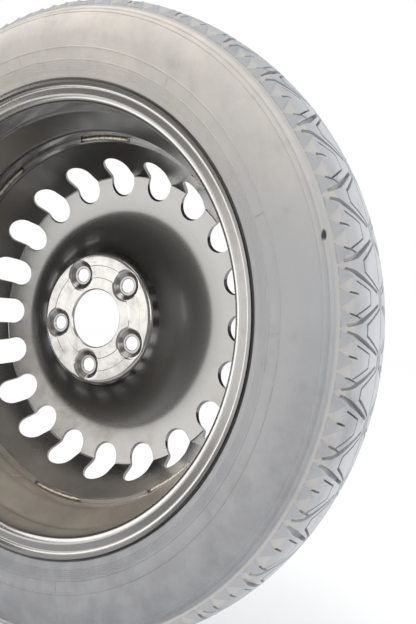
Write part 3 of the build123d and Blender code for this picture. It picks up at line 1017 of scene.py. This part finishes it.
def rim_bmesh(steps):
    """Rolled hoop with flanges, seats, hump and drop centre, and the valve's hole."""
    rise = tan(radians(90 - VALVE_TILT))
    slope_top = WELL_END + (seat_radius(WELL_END + WELL_SLOPE_RUN) - WELL_R) / rise
    points = [
        (FLANGE_R, -RIM_HALF - LIP_OUT),
        (FLANGE_R, -RIM_HALF),
        (BEAD_R, -RIM_HALF),
        (seat_radius(SEAT_END), SEAT_END),
        (seat_radius(SEAT_END) + HUMP_H, SEAT_END + HUMP_W / 2),
        (seat_radius(SEAT_END), SEAT_END + HUMP_W),
        (WELL_R, WELL_START),
        (WELL_R, WELL_END),
        (seat_radius(slope_top), slope_top),
        (BEAD_R, RIM_HALF),
        (FLANGE_R, RIM_HALF),
        (FLANGE_R, RIM_HALF + LIP_OUT),
    ]
    bm = spun(outline(*sheet_outline(points, RIM_RADII, RIM_SHEET), fine=7.0), steps)
    hole = bmesh.new()
    bmesh.ops.create_cone(
        hole, cap_ends=True, segments=32, radius1=VALVE_HOLE_R, radius2=VALVE_HOLE_R, depth=VALVE_HOLE_DEPTH,
    )
    placed(hole, valve_matrix() @ Matrix.Rotation(pi / 2, 4, "X"))
    return combined(bm, [("DIFFERENCE", hole)])


def at_bolts(bm):
    """Moves a shape turned about the axle to the bolt circle, and repeats it."""
    placed(bm, turn_about_axle(BOLT_PHASE) @ Matrix.Translation((BOLT_CIRCLE_R, 0, 0)))
    return repeated(bm, BOLT_COUNT)


def vent_tools():
    """Slots square to the bend between crown and skirt."""
    skirt = (Vector((LAND_R, SKIRT_Y)) - Vector((CREST_R, CROWN_Y))).normalized()
    crown = Vector((cos(radians(CROWN_SLOPE)), -sin(radians(CROWN_SLOPE))))
    punch = (Vector((crown.y, -crown.x)) + Vector((skirt.y, -skirt.x))).normalized()
    across = Vector((punch.y, -punch.x))
    on_crown = VENT_ON_CROWN * abs(across.dot(crown))
    on_skirt = VENT_ON_SKIRT * abs(across.dot(skirt))
    centre = Vector((CREST_R, CROWN_Y)) + across * ((on_crown - on_skirt) / 2)
    stretch = (on_crown + on_skirt - VENT_WIDTH) / 2
    bm = bmesh.new()
    bmesh.ops.create_circle(bm, cap_ends=True, segments=44, radius=VENT_WIDTH / 2)
    for vert in bm.verts:
        vert.co.x += stretch if vert.co.x > 0 else -stretch
    prism = bmesh.ops.extrude_face_region(bm, geom=bm.faces[:])
    bmesh.ops.translate(bm, vec=(0, 0, PUNCH_LENGTH), verts=made(prism, BMVert))
    bmesh.ops.translate(bm, vec=(0, 0, -PUNCH_LENGTH / 2), verts=bm.verts)
    faced_out(bm)
    x_dir, z_dir = across.to_3d(), punch.to_3d()
    basis = Matrix((x_dir, z_dir.cross(x_dir), z_dir)).transposed().to_4x4()
    placed(bm, turn_about_axle(VENT_PHASE) @ Matrix.Translation(centre.to_3d()) @ basis)
    return repeated(bm, VENT_COUNT)


def notch_tools():
    """Cuts in the skirt's edge where the welds are laid."""
    inside, outside = LAND_R - NOTCH_MARGIN, LAND_R + DISC_SHEET + NOTCH_MARGIN
    low, high = LAND_END_Y - NOTCH_MARGIN, LAND_END_Y + NOTCH_DEPTH
    bm = outline([(inside, low), (outside, low), (outside, high), (inside, high)])
    face = bm.faces.new(bm.verts[:])
    swept(bm, radians(NOTCH_ARC), 16, geom=[face])
    placed(faced_out(bm), turn_about_axle(WELD_PHASE + WELD_ARC / 2))
    return repeated(bm, WELD_COUNT)


def disc_bmesh(steps):
    """Pressed centre with pad, bolt seats, bowl, crown, vents and skirt."""
    bowl_y = CROWN_Y + (CREST_R - BOWL_FOOT_R) * tan(radians(CROWN_SLOPE))
    base = [
        (BORE_R, HUB_FACE), (PAD_R, HUB_FACE), (BOWL_FOOT_R, bowl_y), (CREST_R, CROWN_Y),
        (LAND_R, SKIRT_Y), (LAND_R, LAND_END_Y),
    ]
    corners, radii = sheet_outline(base, DISC_RADII, DISC_SHEET)
    relief_y = HUB_FACE + RELIEF_DEPTH
    pad = [
        (BORE_R, HUB_FACE + BORE_EDGE), (BORE_R + BORE_EDGE, HUB_FACE), (RELIEF_IN_R, HUB_FACE),
        (RELIEF_IN_R + RELIEF_RUN, relief_y), (RELIEF_OUT_R - RELIEF_RUN, relief_y), (RELIEF_OUT_R, HUB_FACE),
    ]
    bm = spun(outline(pad + corners[1:], [0] * 6 + radii[1:], fine=6.0), steps)
    foot_y, boss_top = HUB_FACE + BOSS_FOOT, HUB_FACE + DISC_SHEET + DIMPLE_DEPTH
    boss = spun(outline([
        (0, foot_y), (DIMPLE_R, foot_y), (DIMPLE_R + BOSS_FLARE, HUB_FACE + DISC_SHEET),
        (SEAT_RING_R + BOSS_EDGE, boss_top), (0, boss_top),
    ], BOSS_RADII, closed=False), 48)
    low_y, skim_y, seat_y = HUB_FACE - PAST, HUB_FACE + SKIM, HUB_FACE + DIMPLE_DEPTH
    wide_r, cone_r = DIMPLE_R + DIMPLE_MARGIN, BOLT_HOLE_R + CONE_FLARE
    dimple = spun(outline([
        (0, low_y), (wide_r, low_y), (wide_r, skim_y), (DIMPLE_R, skim_y), (SEAT_RING_R + SEAT_EDGE, seat_y),
        (BOLT_HOLE_R + HOLE_EDGE, seat_y), (BOLT_HOLE_R, seat_y + HOLE_EDGE),
        (BOLT_HOLE_R, boss_top - CONE_DEPTH), (cone_r, boss_top), (cone_r, boss_top + PAST),
        (0, boss_top + PAST),
    ], DIMPLE_RADII, closed=False), 56)
    cuts = joined(at_bolts(dimple), vent_tools(), notch_tools())
    return combined(bm, [("UNION", at_bolts(boss)), ("DIFFERENCE", cuts)])


def weld_bmesh():
    """Runs of weld with ripples, laid in the skirt's notches."""
    bm = bmesh.new()
    bmesh.ops.create_circle(bm, cap_ends=True, segments=10, radius=RUN_SIZE)
    placed(bm, Matrix.Translation(RUN_AT.to_3d()))
    arc = radians(RUN_ARC)
    swept(bm, arc, RUN_STEPS)
    for vert in bm.verts:
        turn = atan2(-vert.co.z, vert.co.x)
        share = turn / arc
        fade = min(1.0, *(end * RUN_END_TAPER + RUN_END_SIZE for end in (share, 1 - share)))
        ripple = sum((size * sin(turn * rate + phase) for size, rate, phase in RIPPLES), RIPPLE_MEAN)
        centre = Vector((RUN_AT.x * cos(turn), RUN_AT.y, -RUN_AT.x * sin(turn)))
        vert.co = centre + (vert.co - centre) * (fade * ripple)
    placed(faced_out(bm), turn_about_axle(WELD_PHASE + RUN_ARC / 2))
    return repeated(bm, WELD_COUNT)


class WHEEL_OT_rim(bpy.types.Operator):
    """Model the rolled rim"""

    bl_idname = "spare_wheel.rim"
    bl_label = "Rim"

    def execute(self, context):
        settings = context.scene.spare_rim
        paint = paint_finish("rim_paint", settings.paint_colour, settings.paint_dust, 0.22)
        # Brown painted reflection low in the barrel
        paint_low_reflection(paint, settings.barrel_painted_reflection, BARREL_REFLECTION_R, 1.0)
        finished(rim_bmesh(settings.steps), "rim_hoop", paint, "wheel", ["rim"], 38.0)
        return {"FINISHED"}


class WHEEL_OT_disc(bpy.types.Operator):
    """Model the pressed disc with its bolt seats and vents"""

    bl_idname = "spare_wheel.disc"
    bl_label = "Disc"

    def execute(self, context):
        settings = context.scene.spare_rim
        paint = paint_finish("disc_paint", settings.paint_colour, settings.paint_dust, 0.2)
        # Painted sheen on the hub pad, and wear on the skirt's cut edge
        paint_pad_sheen_and_rub_edge(paint, settings.pad_colour)
        # Painted shade darkens the disc's bowl
        paint_bowl_shade(paint, settings.bowl_painted_shade)
        # Brown painted reflection low on the skirt
        paint_low_reflection(paint, settings.barrel_painted_reflection, SKIRT_REFLECTION_R, 0.65)
        finished(disc_bmesh(settings.steps), "disc_pressing", paint, "wheel", ["disc"], 30.0)
        return {"FINISHED"}


class WHEEL_OT_welds(bpy.types.Operator):
    """Model the welds between disc and rim"""

    bl_idname = "spare_wheel.welds"
    bl_label = "Welds"

    def execute(self, context):
        settings = context.scene.spare_rim
        paint = paint_finish("weld_paint", settings.weld_colour, settings.paint_dust, 0.34)
        finished(weld_bmesh(), "weld_runs", paint, "wheel", ["weld_beads"], 60.0)
        return {"FINISHED"}


# Valve

def valve_piece(points, radii=(), steps=32):
    """Shape turned about the valve's own axis, from (radius, height)."""
    return placed(spun(outline(points, radii, fine=15.0), steps), valve_matrix())


def stem_bmesh():
    """Brass tube with the turns of its thread."""
    thread = [
        (r, THREAD_START + turn * THREAD_PITCH + rise)
        for turn in range(THREAD_TURNS) for r, rise in THREAD_TURN
    ]
    return valve_piece([*STEM_FOOT, *thread, *STEM_TOP])


def cap_bmesh(knurl_count):
    """Screwed cap with ribs round it."""
    bm = spun(outline(CAP), knurl_count * 2)
    middles = {face: face.calc_center_median() for face in bm.faces}
    flats = [
        face for face, middle in middles.items()
        if abs(hypot(middle.x, middle.z) - CAP_R) < 0.05 and abs(face.normal.y) < 0.1
    ]
    flats.sort(key=lambda face: atan2(middles[face].z, middles[face].x))
    for face in bmesh.ops.extrude_discrete_faces(bm, faces=flats[::2])["faces"]:
        bmesh.ops.translate(bm, vec=face.normal * KNURL_HEIGHT, verts=face.verts)
    return placed(bm, valve_matrix())


def spring_bmesh():
    """Coil of round wire about the valve's own axis."""
    bm = bmesh.new()
    bmesh.ops.create_circle(bm, segments=WIRE_SIDES, radius=SPRING_WIRE_R)
    bmesh.ops.translate(bm, vec=(SPRING_R, SPRING_LOW, 0), verts=bm.verts)
    steps = SPRING_TURNS * SPRING_TURN_STEPS
    swept(bm, ROUND * SPRING_TURNS, steps, dvec=(0, SPRING_RUN / steps, 0))
    bmesh.ops.holes_fill(bm, edges=[edge for edge in bm.edges if edge.is_boundary], sides=WIRE_SIDES)
    return placed(faced_out(bm), valve_matrix())


class WHEEL_OT_valve(bpy.types.Operator):
    """Model the rubber valve, its threaded stem and its cap, and finish the parts inside"""

    bl_idname = "spare_wheel.valve"
    bl_label = "Valve"

    def execute(self, context):
        settings = context.scene.spare_valve
        rubber = rubber_finish("valve_rubber", settings.rubber_colour, (0.06, 0.06, 0.058), 0.5, 60.0)
        brass = metal_finish("valve_brass", (0.62, 0.44, 0.16), (0.48, 0.33, 0.12), 0.24)
        steel = metal_finish("spring_steel", (0.6, 0.6, 0.61), (0.45, 0.45, 0.46), 0.26)
        plastic = rubber_finish("cap_plastic", (0.018, 0.018, 0.018), (0.05, 0.05, 0.05), 0.38, 90.0)
        red_rubber = rubber_finish("seal_rubber", (0.16, 0.03, 0.025), (0.2, 0.06, 0.05), 0.5, 120.0)
        body = valve_piece(VALVE_BODY, VALVE_BODY_RADII, 40)
        finished(body, "valve_rubber_body", rubber, "wheel", ["valve_body"])
        finished(stem_bmesh(), "valve_threaded_stem", brass, "wheel", ["valve_stem"])
        finished(cap_bmesh(settings.knurl_count), "valve_screw_cap", plastic, "cap", ["valve_cap"])
        spring = finished(spring_bmesh(), "core_coil_spring", steel, "wheel", ["core_spring"])
        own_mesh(spring)
        plain = {
            "valve_core": brass, "core_pin": brass, "core_seal": red_rubber, "cap_seal": red_rubber,
        }
        for node, material in plain.items():
            mesh = frame["nodes"][node].data
            mesh.materials.clear()
            mesh.materials.append(material)
        return {"FINISHED"}


# Stage

# The world's colours, and where they change by direction as (full, gone)
WHITE = (1.0, 1.0, 1.0)
ROOM_LOW = (0.50, 0.485, 0.465)
ROOM_HIGH = (0.42, 0.40, 0.37)
ROOM_SIDE = (0.06, 0.06, 0.06)
FRONT_LIGHT_LOW = (0.30, 0.30, 0.30)
FRONT_LIGHT_HIGH = (0.72, 0.71, 0.70)
BACK_LIGHT = (0.95, 0.97, 1.0)
HIGH_Z = (0.35, -0.25)
ROOM_SIDE_Y = (-0.1, -0.4)
BEHIND_Y = (0.8, 0.6)
BACK_LIGHT_Y = (0.4, -0.3)

FLOOR_HALF = 3
FLOOR_BACK = 2.55
# The floor glows less near the wheel, a painted shadow: distances as (full glow, least glow), then the glow's
# share near and far
PAINTED_SHADOW_FADE = (0.8, 0.45)
FLOOR_GLOW = (0.22, 0.95)
CAMERA_AT = (0.4167, -0.5588, 0.0332)
CAMERA_RIGHT = (0.85, 0.51708, 0.10066)
CAMERA_UP = (-0.09408, -0.03901, 0.9948)
CAMERA_BACK = (0.51831, -0.85505, 0.01549)
CAMERA_LENS = 35.54
CAMERA_SHIFT = (0.0835, -0.0125)


def white_world(scene):
    """White behind the wheel, and a dimmer, warmer room on the camera's side."""
    world = bpy.data.worlds.new("studio")
    scene.world = world
    world.use_nodes = True
    tree = world.node_tree
    ground = tree.nodes["Background"]
    direction = add(tree, "ShaderNodeSeparateXYZ")
    tree.links.new(add(tree, "ShaderNodeTexCoord").outputs["Generated"], direction.inputs[0])
    up, back = direction.outputs["Z"], direction.outputs["Y"]
    high = within(tree, up, *HIGH_Z)
    room = mixed(tree, high, ROOM_LOW, ROOM_HIGH)
    sides = mixed(tree, within(tree, back, *ROOM_SIDE_Y), room, ROOM_SIDE)
    mirrored = mixed(tree, within(tree, back, *BEHIND_Y), sides, WHITE)
    front = mixed(tree, high, FRONT_LIGHT_LOW, FRONT_LIGHT_HIGH)
    diffuse = mixed(tree, within(tree, back, *BACK_LIGHT_Y), front, BACK_LIGHT)
    path = add(tree, "ShaderNodeLightPath").outputs
    shiny = highest(tree, path["Is Glossy Ray"], path["Is Transmission Ray"])
    unseen = mixed(tree, shiny, diffuse, mirrored)
    tree.links.new(mixed(tree, path["Is Camera Ray"], unseen, WHITE), ground.inputs["Color"])
    ground.inputs["Strength"].default_value = 1.0


def pale_floor(settings):
    """Floor under and behind the tyre, which shows white, keeps the wheel's shadow, and glows less near the
    wheel as a painted shadow.
    """
    bm = bmesh.new()
    bmesh.ops.create_grid(bm, x_segments=1, y_segments=1, size=FLOOR_HALF)
    bmesh.ops.translate(bm, vec=(0, FLOOR_BACK, cad_box[0][2]), verts=bm.verts)
    floor = loose_object("floor", bm)
    material, tree, shader, coords = fresh_material("floor_white")
    shader.inputs["Base Color"].default_value = (*settings.floor_colour, 1)
    shader.inputs["Roughness"].default_value = 0.8
    path = add(tree, "ShaderNodeLightPath").outputs
    clear = path["Is Camera Ray"]
    for ray in ("Is Glossy Ray", "Is Transmission Ray"):
        clear = highest(tree, clear, path[ray])
    # Painted shadow: the floor glows less near the wheel
    clear_of_painted_shadow = within(tree, length_of(tree, coords), *PAINTED_SHADOW_FADE)
    share = product(tree, clear, spread(tree, clear_of_painted_shadow, *FLOOR_GLOW))
    glow = add(tree, "ShaderNodeEmission")
    blend = add(tree, "ShaderNodeMixShader")
    tree.links.new(share, blend.inputs[0])
    tree.links.new(shader.outputs[0], blend.inputs[1])
    tree.links.new(glow.outputs[0], blend.inputs[2])
    tree.links.new(blend.outputs[0], tree.nodes["Material Output"].inputs["Surface"])
    floor.data.materials.append(material)


# Soft boxes as seen from the hub: azimuth from -Y towards +X, elevation, width and height in degrees, and
# how bright each looks against white.
LIGHT_DISTANCE = 5.0
REFLECTED_ONLY = ("left_wall",)
FILL_ONLY = ("side_box",)
SOFT_BOXES = {
    "window_low": (-32, -7, 28, 11, 2.0, (1.0, 0.99, 0.97)),
    "window_high": (-32, 4, 28, 11, 2.3, (1.0, 0.99, 0.97)),
    "right_box": (45, 17, 18, 28, 3.6, (0.97, 0.98, 1.0)),
    "high_box": (-25, 66, 50, 26, 3.0, (1.0, 0.98, 0.95)),
    "left_wall": (-71, -4, 42, 100, 3.9, (1.0, 0.99, 0.97)),
    "side_box": (115, 0, 40, 60, 2.4, (0.97, 0.98, 1.0)),
}


def soft_light(scene, name, azimuth, elevation, width, height, brightness, colour):
    """Far rectangular soft box that faces the hub."""
    lamp = bpy.data.lights.new(name, "AREA")
    lamp.shape = "RECTANGLE"
    lamp.size = 2 * LIGHT_DISTANCE * tan(radians(width / 2))
    lamp.size_y = 2 * LIGHT_DISTANCE * tan(radians(height / 2))
    lamp.energy = brightness * pi * lamp.size * lamp.size_y
    lamp.color = colour
    holder = bpy.data.objects.new(name, lamp)
    scene.collection.objects.link(holder)
    level = cos(radians(elevation))
    way = Vector((sin(radians(azimuth)) * level, -cos(radians(azimuth)) * level, sin(radians(elevation))))
    holder.location = way * LIGHT_DISTANCE
    holder.rotation_euler = (-way).to_track_quat("-Z", "Y").to_euler()
    holder.visible_camera = False
    holder.visible_diffuse = name not in REFLECTED_ONLY
    holder.visible_glossy = name not in FILL_ONLY


class WHEEL_OT_stage(bpy.types.Operator):
    """Set the floor, the soft lights and the camera"""

    bl_idname = "spare_wheel.stage"
    bl_label = "Stage"

    def execute(self, context):
        scene = context.scene
        settings = scene.spare_stage
        scene.view_settings.view_transform = "Standard"
        white_world(scene)
        pale_floor(settings)
        for name, values in SOFT_BOXES.items():
            *place, brightness, colour = values
            soft_light(scene, name, *place, brightness * settings.soft_boxes, colour)
        camera = bpy.data.objects.new("camera", bpy.data.cameras.new("camera"))
        scene.collection.objects.link(camera)
        axes = Matrix((CAMERA_RIGHT, CAMERA_UP, CAMERA_BACK)).transposed().to_4x4()
        camera.matrix_world = Matrix.Translation(CAMERA_AT) @ axes
        camera.data.lens = CAMERA_LENS
        camera.data.sensor_width = 36.0
        camera.data.shift_x, camera.data.shift_y = CAMERA_SHIFT
        camera.data.clip_start = 0.01
        scene.camera = camera
        return {"FINISHED"}


class WHEEL_PT_panel(bpy.types.Panel):
    """Spare wheel settings and steps"""

    bl_idname = "WHEEL_PT_panel"
    bl_label = "Spare wheel"
    bl_space_type = "VIEW_3D"
    bl_region_type = "UI"
    bl_category = "Spare wheel"

    def draw(self, context):
        for name in SETTINGS:
            box = self.layout.box()
            settings = getattr(context.scene, name)
            for key in settings.__annotations__:
                box.prop(settings, key)
        for step in STEPS:
            self.layout.operator(step.bl_idname)


SETTINGS = {
    "spare_tyre": TyreSettings,
    "spare_rim": RimSettings,
    "spare_valve": ValveSettings,
    "spare_stage": StageSettings,
}
STEPS = (WHEEL_OT_stage, WHEEL_OT_rim, WHEEL_OT_disc, WHEEL_OT_welds, WHEEL_OT_tyre, WHEEL_OT_valve)
CLASSES = (*SETTINGS.values(), *STEPS, WHEEL_PT_panel)


def register():
    for cls in CLASSES:
        bpy.utils.register_class(cls)
    for name, cls in SETTINGS.items():
        setattr(bpy.types.Scene, name, PointerProperty(type=cls))


def unregister():
    for name in SETTINGS:
        delattr(bpy.types.Scene, name)
    for cls in reversed(CLASSES):
        bpy.utils.unregister_class(cls)


def main():
    """Builds every piece in order."""
    register()
    for old in [o for o in bpy.data.objects if o.name in ("Cube", "Light", "Camera")]:
        bpy.data.objects.remove(old)
    for step in STEPS:
        group, name = step.bl_idname.split(".")
        getattr(getattr(bpy.ops, group), name)()


if __name__ == "__main__":
    main()
